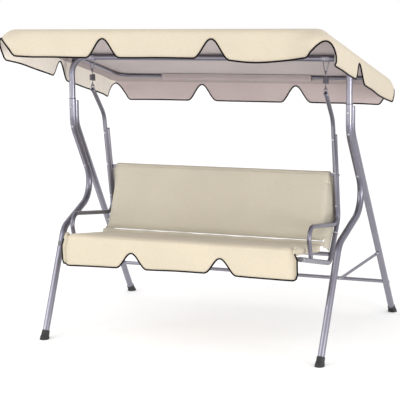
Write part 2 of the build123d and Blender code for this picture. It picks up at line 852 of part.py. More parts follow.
# ---------------------------------------------------------------- build and write every piece
for name, side in SIDES:
    save(front_leg(side), f"{name}_front_leg")
    save(rear_leg(side), f"{name}_rear_leg")
    save(foot_cap(side, front_foot_y, front_foot_lean), f"{name}_front_foot")
    save(foot_cap(side, rear_foot_y, -leg_lean), f"{name}_rear_foot")
    save(bolt_set(leg_bolts(side)), f"{name}_leg_bolts")
    save(corner_brace(side), f"{name}_corner_brace")
    save(bolt_set(brace_bolts(side)), f"{name}_brace_bolts")
    save(bolt_set(crossbar_bolts(side), nuts=False), f"{name}_crossbar_bolt")
    save(hanger_bracket(side), f"{name}_hanger_bracket")
    save(bolt_set([hanger_bolt(side)]), f"{name}_hanger_bolt")
    save(hanger_spring(side), f"{name}_spring")
    save(canopy_bracket(side), f"{name}_canopy_bracket")
    save(canopy_pivot(side), f"{name}_canopy_pivot")
    save(canopy_wing_nut(side), f"{name}_canopy_wing_nut")
    save(canopy_side_tube(side), f"{name}_canopy_tube")
    save(hanger_arm(side), f"{name}_hanger_arm")
    save(seat_side_frame(side), f"{name}_seat_frame")
    save(bolt_set(arm_bolts(side)), f"{name}_arm_bolts")
    save(bolt_set(rail_bolts(side), nuts=False), f"{name}_rail_bolts")

save(top_beam(), "top_beam")
save(rear_crossbar(), "rear_crossbar")
save(canopy_end_rail(roof_front_y + 42, canopy_split_front_y), "canopy_front_rail")
save(canopy_end_rail(roof_rear_y - 42, canopy_split_rear_y), "canopy_rear_rail")
save(canopy_fabric(), "canopy_fabric")
save(cross_rail(*front_rail, rail_od), "seat_front_rail")
save(cross_rail(*rear_rail, rail_od), "seat_rear_rail")
save(cross_rail(upright_line_y - arm_lean * back_rail_z, back_rail_z, back_rail_od), "back_top_rail")
save(seat_supports(), "seat_supports")
save(frame_plugs(), "frame_plugs")
save(seat_cushion(), "seat_cushion")
save(back_cushion(), "back_cushion")
save(seat_valance(), "seat_valance")
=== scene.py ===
"""Canopy swing bench: cloth, padding, trim and finishes on the CAD frame, in metres."""

import json
from math import atan, cos, hypot, pi, radians, sin

import bmesh
import bpy
import numpy as np
from mathutils import Matrix, Vector
from mathutils.bvhtree import BVHTree


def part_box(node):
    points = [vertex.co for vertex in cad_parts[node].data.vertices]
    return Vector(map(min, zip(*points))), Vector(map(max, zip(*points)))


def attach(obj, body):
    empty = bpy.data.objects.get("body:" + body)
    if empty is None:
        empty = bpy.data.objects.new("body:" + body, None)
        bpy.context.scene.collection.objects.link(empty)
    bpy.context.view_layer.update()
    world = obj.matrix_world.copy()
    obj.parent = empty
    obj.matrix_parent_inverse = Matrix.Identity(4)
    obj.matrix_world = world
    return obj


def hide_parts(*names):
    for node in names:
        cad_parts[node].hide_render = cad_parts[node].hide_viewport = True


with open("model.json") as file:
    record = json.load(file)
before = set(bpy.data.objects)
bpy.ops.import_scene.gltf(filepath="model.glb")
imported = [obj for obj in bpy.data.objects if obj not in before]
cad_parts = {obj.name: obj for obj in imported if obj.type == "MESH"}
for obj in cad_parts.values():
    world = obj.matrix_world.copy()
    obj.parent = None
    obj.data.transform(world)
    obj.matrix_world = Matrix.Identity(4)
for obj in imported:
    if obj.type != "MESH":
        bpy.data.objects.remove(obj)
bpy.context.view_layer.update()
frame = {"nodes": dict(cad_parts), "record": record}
nodes = frame["nodes"]

BEAM_Y = -0.102                      # the beam that carries the bench

# ---- canopy ----
ROOF_X = 0.812
ROOF_FRONT = -0.604                  # behind the beam, like every other y below
ROOF_REAR = 0.643
ROOF_FRONT_Z = 1.592
ROOF_SLOPE = 0.2331
SHOULDER = 0.040
CORNER_RADIUS = 0.016                # of the roof inside the shoulder
VALANCE = 0.141
NOTCH_HEIGHT = 0.089
NOTCH_HALF = 0.088
CORNER_NOTCH_HALF = 0.070
HEM_DROOP = 0.018                    # the front hem hangs lower towards its right end
DROOP_X = 0.50
NOTCH_X = 0.276
SIDE_NOTCH_Y = -0.026
FRONT_FLARE = 0.038                  # the cloth stands out at the corners
REAR_FLARE = 0.022
ROOF_SAG = 0.006
CLOTH = 0.0015
RAIL_FRONT = -0.562
RAIL_REAR = 0.601
RAIL_RADIUS = 0.0095

# ---- bench ----
PAD_LEFT = -0.606                    # the covers sit a little to the right
PAD_RIGHT = 0.622
PAD_LIMIT = 0.6232                   # nothing soft reaches the uprights
PAD_END_INSET = 0.004                # room for the ends to swell
SEAT_FRONT = -0.426
SEAT_REAR = 0.040
SEAT_SLOPE = -0.1336
SEAT_RAIL = (-0.385, 0.5008)
SEAT_BASE = 0.0126                   # pad underside above the rail's axis
SEAT_THICK = 0.040
BACK_FOOT = (0.0365, 0.508)
BACK_LEAN = radians(23.5)
BACK_THICK = 0.036
BACK_HEIGHT = 0.386
EAR = 0.011                          # the back cover's top left corner stands out
CREASE = (0.0245, 0.5022)            # axis of the roll between seat and back
CREASE_RADIUS = 0.0128
SKIRT_LEFT = -0.612
SKIRT_RIGHT = 0.630
SKIRT_LOW = 0.405
SKIRT_NOTCH_X = 0.235
SKIRT_NOTCH = 0.077
SKIRT_CORNER = 0.030
COLLAR_RADIUS = 0.0170
PIPING = 0.0040
STITCH_RISE = 0.008                  # stitch line above the piping

# ---- uprights and legs, from the CAD ----
HANG_X = 0.637                       # of the uprights behind the bench
LEG_X = 0.7575                       # of the front legs' tops
UPRIGHT_LEAN = 0.166                 # forward for each metre up, above the bend
UPRIGHT_LOW_SLOPE = 0.7116           # rise back for each metre up, below the bend
UPRIGHT_BEND_Z = 0.605
UPRIGHT_BEND = atan(UPRIGHT_LOW_SLOPE)
TIE_Z = 0.530
TIE_RADIUS = 0.0142
TIE_HALF_WIDTH = 0.0040
PAD_PRESSURE = 4.0
PAD_CAP = 0.0085                     # furthest a point of a cover may swell

# ---- studio ----
FLOOR_RADIUS = 40.0
FLOOR_GLOW = 0.14                    # lifts the floor to white
CAMERA_PLACE = (2.4446, -6.1823, 1.6963)
CAMERA_YAW = 0.386977661
CAMERA_PITCH = -0.151028049
CAMERA_ROLL = -0.0101550826
CAMERA_LENS = 115.90


# ---------------------------------------------------------------- mesh helpers
def mesh_object(name, points, faces):
    mesh = bpy.data.meshes.new(name)
    mesh.from_pydata([tuple(p) for p in points], [], faces)
    mesh.validate()
    mesh.update()
    thing = bpy.data.objects.new(name, mesh)
    bpy.context.scene.collection.objects.link(thing)
    thing.data.polygons.foreach_set("use_smooth", [True] * len(mesh.polygons))
    return thing


def apply_all(thing):
    """Turns the modified shape into the mesh itself."""
    graph = bpy.context.evaluated_depsgraph_get()
    graph.update()
    done = bpy.data.meshes.new_from_object(thing.evaluated_get(graph))
    old = thing.data
    thing.modifiers.clear()
    thing.data = done
    bpy.data.meshes.remove(old)


def coordinates(mesh):
    flat = np.zeros(len(mesh.vertices) * 3)
    mesh.vertices.foreach_get("co", flat)
    return flat.reshape(-1, 3)


def set_coordinates(mesh, points):
    mesh.vertices.foreach_set("co", np.asarray(points).ravel())
    mesh.update()


def smoothstep(value):
    value = min(max(value, 0.0), 1.0)
    return value * value * (3 - 2 * value)


def sweep(name, path, radius, closed=False, sides=10, flat=1.0):
    """A round or flattened strand along a path of points."""
    path = [Vector(p) for p in path]
    count = len(path)
    points = []
    faces = []
    last = None
    for i, here in enumerate(path):
        ahead = path[(i + 1) % count] if closed or i < count - 1 else here
        behind = path[i - 1] if closed or i > 0 else here
        along = (ahead - behind).normalized()
        if last is None:
            guess = Vector((0, 0, 1)) if abs(along.z) < 0.8 else Vector((1, 0, 0))
            last = along.cross(guess).normalized()
        last = (last - along * last.dot(along)).normalized()
        other = along.cross(last)
        for k in range(sides):
            turn = 2 * pi * k / sides
            points.append(here + last * (cos(turn) * radius) + other * (sin(turn) * radius * flat))
    rings = count if closed else count - 1
    for i in range(rings):
        for k in range(sides):
            a = i * sides + k
            b = i * sides + (k + 1) % sides
            c = ((i + 1) % count) * sides + (k + 1) % sides
            d = ((i + 1) % count) * sides + k
            faces.append((a, b, c, d))
    if not closed:
        faces.append(tuple(reversed(range(sides))))
        faces.append(tuple(range((count - 1) * sides, count * sides)))
    return mesh_object(name, points, faces)


def along_path(path, step):
    """Evenly spaced points and directions on a path."""
    path = [Vector(p) for p in path]
    spots = []
    carried = step / 2
    for a, b in zip(path, path[1:]):
        run = (b - a).length
        while carried < run:
            spots.append((a.lerp(b, carried / run), (b - a).normalized()))
            carried += step
        carried -= run
    return spots


def stitching(name, path, length=0.0036, gap=0.0022, thread=0.00045):
    """A row of separate stitches lying on the cloth."""
    points = []
    faces = []
    for spot, way in along_path(path, length + gap):
        side = way.cross(Vector((0, 0, 1)))
        if side.length < 0.1:
            side = way.cross(Vector((0, 1, 0)))
        side.normalize()
        lift = side.cross(way)
        first = len(points)
        for share, width in ((-0.5, 0.35), (-0.36, 1.0), (0.36, 1.0), (0.5, 0.35)):
            for k in range(6):
                turn = 2 * pi * k / 6
                offset = side * cos(turn) + lift * sin(turn)
                points.append(spot + way * (share * length) + offset * (thread * width))
        for ring in range(3):
            for k in range(6):
                a = first + ring * 6 + k
                b = first + ring * 6 + (k + 1) % 6
                faces.append((a, b, b + 6, a + 6))
        faces.append(tuple(first + k for k in reversed(range(6))))
        faces.append(tuple(first + 18 + k for k in range(6)))
    return mesh_object(name, points, faces)


# ---------------------------------------------------------------- materials
class Shader:
    """A node material being built."""

    def __init__(self, name):
        self.material = bpy.data.materials.new(name)
        self.material.use_nodes = True
        self.tree = self.material.node_tree
        self.surface = self.tree.nodes["Principled BSDF"]
        self.place = self.node("ShaderNodeTexCoord").outputs["Object"]
        self.woven = self.place

    def node(self, kind, **values):
        made = self.tree.nodes.new(kind)
        for key, value in values.items():
            setattr(made, key, value)
        return made

    def join(self, source, target):
        self.tree.links.new(source, target)

    def noise(self, scale, detail=3.0, roughness=0.55):
        made = self.node("ShaderNodeTexNoise")
        made.inputs["Scale"].default_value = scale
        made.inputs["Detail"].default_value = detail
        made.inputs["Roughness"].default_value = roughness
        self.join(self.place, made.inputs["Vector"])
        return made.outputs["Fac"]

    def loosen(self, scale, amount):
        """Lets the threads wander, as real ones do, instead of running dead straight."""
        cells = self.node("ShaderNodeTexNoise")
        cells.inputs["Scale"].default_value = scale
        cells.inputs["Detail"].default_value = 2.0
        self.join(self.place, cells.inputs["Vector"])
        shifted = self.node("ShaderNodeVectorMath", operation="MULTIPLY_ADD")
        self.join(cells.outputs["Color"], shifted.inputs[0])
        shifted.inputs[1].default_value = (amount, amount, amount)
        self.join(self.place, shifted.inputs[2])
        self.woven = shifted.outputs[0]

    def wave(self, direction, pitch):
        made = self.node("ShaderNodeTexWave", bands_direction=direction)
        made.inputs["Scale"].default_value = 1 / (3.18 * pitch)
        self.join(self.woven, made.inputs["Vector"])
        return made.outputs["Fac"]

    def maths(self, operation, first, second):
        made = self.node("ShaderNodeMath", operation=operation)
        for socket, value in zip(made.inputs, (first, second)):
            if isinstance(value, (int, float)):
                socket.default_value = value
            else:
                self.join(value, socket)
        return made.outputs[0]

    def ramp(self, source, stops):
        made = self.node("ShaderNodeValToRGB")
        while len(made.color_ramp.elements) < len(stops):
            made.color_ramp.elements.new(0.5)
        for element, (place, colour) in zip(made.color_ramp.elements, stops):
            element.position = place
            element.color = (*colour, 1)
        self.join(source, made.inputs["Fac"])
        return made.outputs["Color"]

    def blend(self, amount, first, second, kind="MIX"):
        made = self.node("ShaderNodeMix", data_type="RGBA", blend_type=kind)
        for socket, value in ((0, amount), (6, first), (7, second)):
            if isinstance(value, (int, float)):
                made.inputs[socket].default_value = value
            elif isinstance(value, tuple):
                made.inputs[socket].default_value = (*value, 1)
            else:
                self.join(value, made.inputs[socket])
        return made.outputs[2]

    def spread(self, source, low, high):
        made = self.node("ShaderNodeMapRange")
        made.inputs["To Min"].default_value = low
        made.inputs["To Max"].default_value = high
        self.join(source, made.inputs["Value"])
        return made.outputs["Result"]

    def bump(self, height, distance, strength=1.0, below=None):
        made = self.node("ShaderNodeBump")
        made.inputs["Strength"].default_value = strength
        made.inputs["Distance"].default_value = distance
        self.join(height, made.inputs["Height"])
        if below is not None:
            self.join(below, made.inputs["Normal"])
        return made.outputs["Normal"]

    def set(self, **values):
        for key, value in values.items():
            self.surface.inputs[key.replace("_", " ")].default_value = value


def cloth_material(name, light, dark, thread=0.0009, crease=0.0016):
    """Plain-weave cloth: crossing threads, fuzz, faint soiling and handling creases."""
    cloth = Shader(name)
    cloth.loosen(150.0, 0.0035)
    weave = None
    for direction in ("X", "Y", "Z"):
        bands = cloth.wave(direction, thread)
        weave = bands if weave is None else cloth.maths("ADD", weave, bands)
    weave = cloth.maths("MULTIPLY", weave, 0.3333)
    clouds = cloth.noise(2.6, 5.0)
    slubs = cloth.noise(160.0, 4.0, 0.7)
    base = cloth.ramp(clouds, ((0.30, dark), (0.68, light)))
    threads = cloth.ramp(weave, ((0.25, (0.90, 0.895, 0.89)), (0.75, (1.0, 1.0, 1.0))))
    base = cloth.blend(1.0, base, threads, "MULTIPLY")
    flecks = cloth.ramp(slubs, ((0.32, (0.90, 0.89, 0.88)), (0.62, (1.0, 1.0, 1.0))))
    base = cloth.blend(0.6, base, flecks, "MULTIPLY")
    cloth.join(base, cloth.surface.inputs["Base Color"])
    cloth.join(cloth.spread(slubs, 0.78, 0.96), cloth.surface.inputs["Roughness"])
    cloth.set(Sheen_Weight=0.18, Sheen_Roughness=0.45, Specular_IOR_Level=0.22)
    folds = cloth.bump(cloth.noise(7.0, 4.0, 0.5), crease * 4, 0.55)
    fine = cloth.bump(cloth.noise(34.0, 3.0, 0.6), crease, 0.35, folds)
    cloth.join(cloth.bump(weave, 0.00035, 0.8, fine), cloth.surface.inputs["Normal"])
    return cloth.material


def metal_material(name, light, dark, rough, metallic=0.85, grain=420.0, depth=0.00008):
    """Coated or plated metal: fine orange peel, handling marks and edges rubbed bright."""
    metal = Shader(name)
    clouds = metal.noise(9.0, 4.0)
    marks = metal.noise(70.0, 6.0, 0.75)
    base = metal.ramp(clouds, ((0.30, dark), (0.70, light)))
    edge = metal.node("ShaderNodeNewGeometry").outputs["Pointiness"]
    rubbed = metal.ramp(edge, ((0.53, (0, 0, 0)), (0.60, (1, 1, 1))))
    bright = tuple(min(1.0, 1.5 * c + 0.06) for c in light)
    base = metal.blend(metal.maths("MULTIPLY", rubbed, 0.55), base, bright)
    scuffs = metal.ramp(marks, ((0.30, (0.84, 0.84, 0.84)), (0.52, (1.0, 1.0, 1.0))))
    base = metal.blend(0.5, base, scuffs, "MULTIPLY")
    metal.join(base, metal.surface.inputs["Base Color"])
    metal.join(metal.spread(marks, rough - 0.07, rough + 0.13), metal.surface.inputs["Roughness"])
    metal.set(Metallic=metallic)
    peel = metal.bump(metal.noise(grain, 2.0), depth, 0.5)
    metal.join(metal.bump(marks, 0.00012, 0.25, peel), metal.surface.inputs["Normal"])
    return metal.material


def moulded_material(name, light, dark, rough, grain=900.0):
    """Moulded rubber or plastic: fine grain, dusty patches and scuffed edges."""
    moulded = Shader(name)
    dust = moulded.noise(24.0, 6.0, 0.7)
    base = moulded.ramp(dust, ((0.38, dark), (0.72, light)))
    edge = moulded.node("ShaderNodeNewGeometry").outputs["Pointiness"]
    scuffed = moulded.ramp(edge, ((0.53, (0, 0, 0)), (0.62, (1, 1, 1))))
    pale = tuple(0.55 * c + 0.06 for c in light)
    base = moulded.blend(moulded.maths("MULTIPLY", scuffed, 0.6), base, pale)
    moulded.join(base, moulded.surface.inputs["Base Color"])
    worn = moulded.spread(dust, rough - 0.1, rough + 0.12)
    moulded.join(worn, moulded.surface.inputs["Roughness"])
    moulded.set(Specular_IOR_Level=0.35)
    pores = moulded.bump(moulded.noise(grain, 3.0), 0.00015, 0.6)
    moulded.join(pores, moulded.surface.inputs["Normal"])
    return moulded.material


def twill_material(name, light, dark, shine=0.3):
    """Narrow woven tape or thread: steep diagonal ribs."""
    tape = Shader(name)
    ribs = tape.wave("DIAGONAL", 0.0011)
    wear = tape.noise(55.0, 5.0, 0.65)
    base = tape.ramp(ribs, ((0.25, dark), (0.75, light)))
    faded = tape.ramp(wear, ((0.35, (0.75, 0.75, 0.75)), (0.65, (1.0, 1.0, 1.0))))
    base = tape.blend(0.8, base, faded, "MULTIPLY")
    tape.join(base, tape.surface.inputs["Base Color"])
    tape.join(tape.spread(wear, 0.62, 0.88), tape.surface.inputs["Roughness"])
    tape.set(Sheen_Weight=shine * 0.5, Specular_IOR_Level=shine)
    tape.join(tape.bump(ribs, 0.0003, 0.8), tape.surface.inputs["Normal"])
    return tape.material


def floor_material():
    floor = Shader("studio_floor")
    specks = floor.noise(40.0, 4.0)
    base = floor.ramp(specks, ((0.3, (0.90, 0.90, 0.90)), (0.7, (0.93, 0.93, 0.93))))
    floor.join(base, floor.surface.inputs["Base Color"])
    floor.set(Roughness=0.9, Specular_IOR_Level=0.1)
    floor.set(Emission_Color=(1, 1, 1, 1), Emission_Strength=FLOOR_GLOW)
    return floor.material


canopy_out = cloth_material("canopy_cloth_outside", (0.62, 0.548, 0.432), (0.58, 0.513, 0.403))
# Inside of the roof and the rail sleeves: painted shade, the canopy cloth made darker and greyer as it
# looks in shadow under the roof
canopy_painted_shade_cloth = cloth_material("canopy_inside_painted_shade", (0.43, 0.368, 0.362), (0.395, 0.337, 0.333))
# Inside of the front and rear valances: painted shade, darker and pinker than the outside cloth
end_valance_painted_shade = cloth_material("end_valance_inside_painted_shade", (0.56, 0.475, 0.465), (0.525, 0.445, 0.437))
# Inside of the side valances: painted light, paler and warmer than the outside cloth as where light
# falls on it
side_valance_painted_light = cloth_material("side_valance_inside_painted_light", (0.92, 0.86, 0.77), (0.88, 0.82, 0.73))
seat_cloth = cloth_material("seat_cloth", (0.66, 0.585, 0.455), (0.61, 0.54, 0.42), crease=0.002)
back_cloth = cloth_material("back_cloth", (0.58, 0.535, 0.435), (0.54, 0.495, 0.40), crease=0.002)
piping_tape = twill_material("piping_tape", (0.010, 0.007, 0.010), (0.003, 0.002, 0.003), 0.06)
tie_tape = twill_material("tie_tape", (0.74, 0.72, 0.68), (0.56, 0.54, 0.50))
seam_thread = twill_material("seam_thread", (0.62, 0.53, 0.41), (0.45, 0.38, 0.29))
slots = {
    "frame_paint": metal_material("frame_paint", (0.205, 0.198, 0.237), (0.165, 0.160, 0.198), 0.28),
    "zinc_fasteners": metal_material("zinc_fasteners", (0.50, 0.50, 0.52), (0.36, 0.36, 0.39), 0.32),
    "spring_steel": metal_material("spring_steel", (0.20, 0.19, 0.22), (0.11, 0.10, 0.12), 0.36),
    "rubber_black": moulded_material("rubber_black", (0.050, 0.050, 0.052), (0.014, 0.014, 0.015), 0.62),
    "plug_plastic": moulded_material("plug_plastic", (0.17, 0.165, 0.185), (0.11, 0.105, 0.12), 0.48),
    "canopy_cloth": canopy_out,
    "seat_cloth": seat_cloth,
}
for part in frame["record"]["subparts"]:
    node = nodes[part["node"]]
    node.data.materials.clear()
    node.data.materials.append(slots[part["material_slot"]])


def finish_piece(piece, body, *materials):
    for material in materials:
        piece.data.materials.append(material)
    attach(piece, body)
    return piece


# ---------------------------------------------------------------- canopy
def roof_z(y):
    return ROOF_FRONT_Z - ROOF_SLOPE * (y - ROOF_FRONT)


def bell(distance, half, height):
    """Height of a scallop's notch at a distance from its middle."""
    if abs(distance) >= half:
        return 0.0
    return height * 0.5 * (1 + cos(pi * distance / half))


def steps(half, radius, pitch):
    """Grid lines from -half to half, closer together in the rounded corners."""
    inner = half - radius
    count = max(2, int(2 * inner / pitch))
    middle = [-inner + 2 * inner * i / count for i in range(count + 1)]
    ends = [inner + radius * (i + 1) / 6 for i in range(6)]
    return [-e for e in reversed(ends)] + middle + ends


def rounded(x, y, half_x, half_y, radius):
    """Moves a point of a rectangle into the same rectangle with round corners."""
    a = abs(x) - (half_x - radius)
    b = abs(y) - (half_y - radius)
    if a <= 0 or b <= 0:
        return x, y
    shrink = max(a, b) / hypot(a, b)
    x = (half_x - radius + a * shrink) * (1 if x > 0 else -1)
    y = (half_y - radius + b * shrink) * (1 if y > 0 else -1)
    return x, y


def roof_height(x, y):
    """The stretched roof: its sloping plane with a light sag between the tubes."""
    sag = 0.0
    if abs(x) < ROOF_X:
        across = 1 - (x / ROOF_X) ** 4
        if RAIL_FRONT < y < -0.02:
            sag = sin(pi * (y - RAIL_FRONT) / (-0.02 - RAIL_FRONT))
        elif 0.02 < y < RAIL_REAR:
            sag = sin(pi * (y - 0.02) / (RAIL_REAR - 0.02))
        sag *= across * ROOF_SAG
    return roof_z(y) - sag


def hem_depth(x, y, normal, corner_run):
    """How far the valance hangs below the roof's plane at one place of its edge."""
    lift = bell(corner_run, CORNER_NOTCH_HALF, NOTCH_HEIGHT)
    if y < 0 and x > 0:
        lift *= 0.86
    if abs(normal[1]) > 0.99:
        lift += bell(abs(x) - NOTCH_X, NOTCH_HALF, NOTCH_HEIGHT)
    if normal[1] < -0.99:
        lift -= HEM_DROOP * smoothstep(1 - abs(x - DROOP_X) / 0.26)
    if abs(normal[0]) > 0.99:
        lift += bell(y - SIDE_NOTCH_Y, NOTCH_HALF, NOTCH_HEIGHT)
    return VALANCE - lift


def stitch_spot(hem, above, outward):
    """A point of the cloth a little above its hem, and just outside it."""
    return hem + (above - hem).normalized() * STITCH_RISE + outward


def build_canopy():
    """One sheet: the roof, its rounded shoulder and the scalloped valance all round."""
    half_x = ROOF_X - SHOULDER
    half_y = (ROOF_REAR - ROOF_FRONT) / 2 - SHOULDER
    middle_y = (ROOF_REAR + ROOF_FRONT) / 2
    columns = steps(half_x, CORNER_RADIUS, 0.011)
    rows = steps(half_y, CORNER_RADIUS, 0.011)
    points = []
    for v in rows:
        for u in columns:
            x, y = rounded(u, v, half_x, half_y, CORNER_RADIUS)
            y += middle_y
            points.append(Vector((x, BEAM_Y + y, roof_height(x, y))))
    wide = len(columns)
    tall = len(rows)
    faces = []
    for r in range(tall - 1):
        for c in range(wide - 1):
            a = r * wide + c
            faces.append((a, a + 1, a + wide + 1, a + wide))
    edge = list(range(wide))
    edge += [r * wide + wide - 1 for r in range(1, tall)]
    edge += [(tall - 1) * wide + c for c in range(wide - 2, -1, -1)]
    edge += [r * wide for r in range(tall - 2, 0, -1)]
    centres = []
    loop = []
    core_x = half_x - CORNER_RADIUS
    core_y = half_y - CORNER_RADIUS
    for index in edge:
        p = points[index]
        x, y = p.x, p.y - BEAM_Y - middle_y
        core = Vector((min(max(x, -core_x), core_x), min(max(y, -core_y), core_y)))
        normal = (Vector((x, y)) - core).normalized()
        turn = atan(abs(normal.y) / max(abs(normal.x), 1e-9))
        arc = (turn - pi / 4) * (CORNER_RADIUS + SHOULDER)
        if abs(core.x) < core_x - 1e-6:
            run = core_x - abs(core.x) + (pi / 4) * (CORNER_RADIUS + SHOULDER)
        elif abs(core.y) < core_y - 1e-6:
            run = core_y - abs(core.y) + (pi / 4) * (CORNER_RADIUS + SHOULDER)
        else:
            run = abs(arc)
        loop.append((x, y + middle_y, normal, run))
    shoulder_rows = 8
    skirt_rows = 14
    hem = []
    stitch_line = []
    for order, (x, y, normal, run) in enumerate(loop):
        flare = FRONT_FLARE if y < 0 else REAR_FLARE
        depth = hem_depth(x, y, normal, run)
        cornered = smoothstep(1 - run / 0.17)
        place = order * 0.011
        for j in range(1, shoulder_rows + skirt_rows + 1):
            if j <= shoulder_rows:
                bend = pi / 2 * j / shoulder_rows
                out = SHOULDER * sin(bend)
                drop = SHOULDER * (1 - cos(bend))
            else:
                share = (j - shoulder_rows) / skirt_rows
                out = SHOULDER
                drop = SHOULDER + (depth - SHOULDER) * share
            reach = drop / VALANCE
            out += flare * cornered * smoothstep(drop / 0.07)
            ripple = 0.0032 * sin(place * 9.0) + 0.0022 * sin(place * 23.0 + 1.3)
            out += (ripple + 0.004) * reach * reach
            px = x + normal.x * out
            py = y + normal.y * out
            points.append(Vector((px, BEAM_Y + py, roof_z(py) - drop)))
        hem.append(points[-1])
        outward = Vector((normal.x, normal.y, 0)) * 0.0005
        stitch_line.append(stitch_spot(points[-1], points[-4], outward))
    ring = shoulder_rows + skirt_rows
    base = wide * tall
    count = len(loop)
    for order in range(count):
        after = (order + 1) % count
        for j in range(ring):
            a = edge[order] if j == 0 else base + order * ring + j - 1
            b = edge[after] if j == 0 else base + after * ring + j - 1
            faces.append((a, base + order * ring + j, base + after * ring + j, b))
    cloth = mesh_object("canopy_cloth", points, faces)
    shell = cloth.modifiers.new("thickness", "SOLIDIFY")
    shell.thickness = CLOTH
    shell.offset = -1
    shell.material_offset = 1
    shell.material_offset_rim = 0
    # The inside faces take painted-shade and painted-light copies of the canopy cloth, not a colour of
    # their own
    for material in (canopy_out, canopy_painted_shade_cloth, end_valance_painted_shade, side_valance_painted_light):
        cloth.data.materials.append(material)
    apply_all(cloth)
    # Inside faces below the shoulder: side valances get the painted-light colour, end valances the
    # painted-shade colour; the roof's inside keeps its painted shade
    for face in cloth.data.polygons:
        y = face.center.y - BEAM_Y
        if face.material_index == 1 and face.center.z < roof_z(y) - SHOULDER:
            face.material_index = 3 if abs(face.normal.x) > abs(face.normal.y) else 2
    return cloth, hem, stitch_line


canopy, canopy_hem, canopy_stitch_line = build_canopy()
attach(canopy, "canopy")
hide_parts("canopy_fabric")
canopy_piping = sweep("canopy_piping", canopy_hem, PIPING, closed=True)
finish_piece(canopy_piping, "canopy", piping_tape)
canopy_stitches = stitching("canopy_stitches", canopy_stitch_line + canopy_stitch_line[:1])
finish_piece(canopy_stitches, "canopy", seam_thread)


def build_rail_sleeve(name, rail_y, low_x, high_x):
    """A pocket of cloth sewn under the roof, with the end rail running through it."""
    axis_z = roof_z(rail_y) - 0.0130 / cos(atan(ROOF_SLOPE))
    radius = RAIL_RADIUS + 0.0022
    outline = []
    for i in range(19):
        turn = radians(-205 + 230 * i / 18)
        hang = 1.7 if sin(turn) < 0 else 1.0
        outline.append((cos(turn) * radius, sin(turn) * radius * hang))
    wide_side, narrow_side = (0.030, 0.016) if rail_y < 0 else (0.016, 0.030)
    outline = [(-narrow_side, 0.0066)] + outline + [(wide_side, 0.0066)]
    tilt = -atan(ROOF_SLOPE)
    points = []
    faces = []
    stations = 90
    for i in range(stations + 1):
        x = low_x + (high_x - low_x) * i / stations
        for k, (along, up) in enumerate(outline):
            slack = 0.0016 * sin(37 * x) * sin(pi * k / (len(outline) - 1))
            y = along * cos(tilt) - up * sin(tilt)
            z = along * sin(tilt) + up * cos(tilt) - slack
            points.append((x, BEAM_Y + rail_y + y, axis_z + z))
    wide = len(outline)
    for i in range(stations):
        for k in range(wide - 1):
            a = i * wide + k
            faces.append((a, a + wide, a + wide + 1, a + 1))
    sleeve = mesh_object(name, points, faces)
    shell = sleeve.modifiers.new("thickness", "SOLIDIFY")
    shell.thickness = 0.0012
    shell.offset = 1
    apply_all(sleeve)
    # The sleeve takes the roof underside's painted-shade colour
    finish_piece(sleeve, "canopy", canopy_painted_shade_cloth)


build_rail_sleeve("front_rail_sleeve", RAIL_FRONT, -0.62, 0.62)
build_rail_sleeve("rear_rail_sleeve", RAIL_REAR, -0.500, 0.380)


# ---------------------------------------------------------------- pads
def slab(name, corners, rounding):
    """A closed slab: a side-view outline carried across the bench, with rounded edges."""
    shape = bmesh.new()
    rings = []
    stations = 24
    left = PAD_LEFT + PAD_END_INSET
    right = PAD_RIGHT - PAD_END_INSET
    for i in range(stations + 1):
        x = left + (right - left) * i / stations
        rings.append([shape.verts.new((x, BEAM_Y + y, z)) for y, z in corners])
    for low, high in zip(rings, rings[1:]):
        for k in range(len(corners)):
            after = (k + 1) % len(corners)
            shape.faces.new((low[k], low[after], high[after], high[k]))
    shape.faces.new(tuple(reversed(rings[0])))
    shape.faces.new(tuple(rings[-1]))
    bmesh.ops.recalc_face_normals(shape, faces=shape.faces)
    mesh = bpy.data.meshes.new(name)
    shape.to_mesh(mesh)
    shape.free()
    thing = bpy.data.objects.new(name, mesh)
    bpy.context.scene.collection.objects.link(thing)
    soft = thing.modifiers.new("edges", "BEVEL")
    soft.width = rounding
    soft.segments = 4
    soft.limit_method = "ANGLE"
    soft.angle_limit = radians(40)
    apply_all(thing)
    return thing


def inflate(thing, pressure, cap, voxel=0.006, frames=20):
    """Fills the cover like a cushion; no point may move further than the cap."""
    net = thing.modifiers.new("net", "REMESH")
    net.mode = "VOXEL"
    net.voxel_size = voxel
    apply_all(thing)
    rest = coordinates(thing.data).copy()
    scene = bpy.context.scene
    cloth = thing.modifiers.new("Cloth", "CLOTH")
    settings = cloth.settings
    settings.use_pressure = True
    settings.uniform_pressure_force = pressure
    settings.effector_weights.gravity = 0
    settings.quality = 5
    settings.mass = 0.3
    settings.tension_stiffness = 12
    settings.compression_stiffness = 12
    settings.shear_stiffness = 5
    settings.bending_stiffness = 0.6
    cloth.point_cache.frame_start = 1
    cloth.point_cache.frame_end = frames
    for number in range(1, frames + 1):
        scene.frame_set(number)
    graph = bpy.context.evaluated_depsgraph_get()
    moved = coordinates(thing.evaluated_get(graph).data).copy()
    thing.modifiers.remove(cloth)
    scene.frame_set(1)
    shift = moved - rest
    length = np.linalg.norm(shift, axis=1, keepdims=True)
    shift *= np.minimum(1.0, cap / np.maximum(length, 1e-9))
    set_coordinates(thing.data, rest + shift)
    smooth = thing.modifiers.new("smooth", "CORRECTIVE_SMOOTH")
    smooth.iterations = 4
    smooth.use_only_smooth = True
    apply_all(thing)
    finer = thing.modifiers.new("finer", "SUBSURF")
    finer.levels = 1
    finer.render_levels = 1
    apply_all(thing)
    thing.data.polygons.foreach_set("use_smooth", [True] * len(thing.data.polygons))


def seat_plane(y, above=0.0):
    """Height of the seat pad's underside, or of a level above it."""
    return SEAT_RAIL[1] + SEAT_BASE + SEAT_SLOPE * (y - SEAT_RAIL[0]) + above


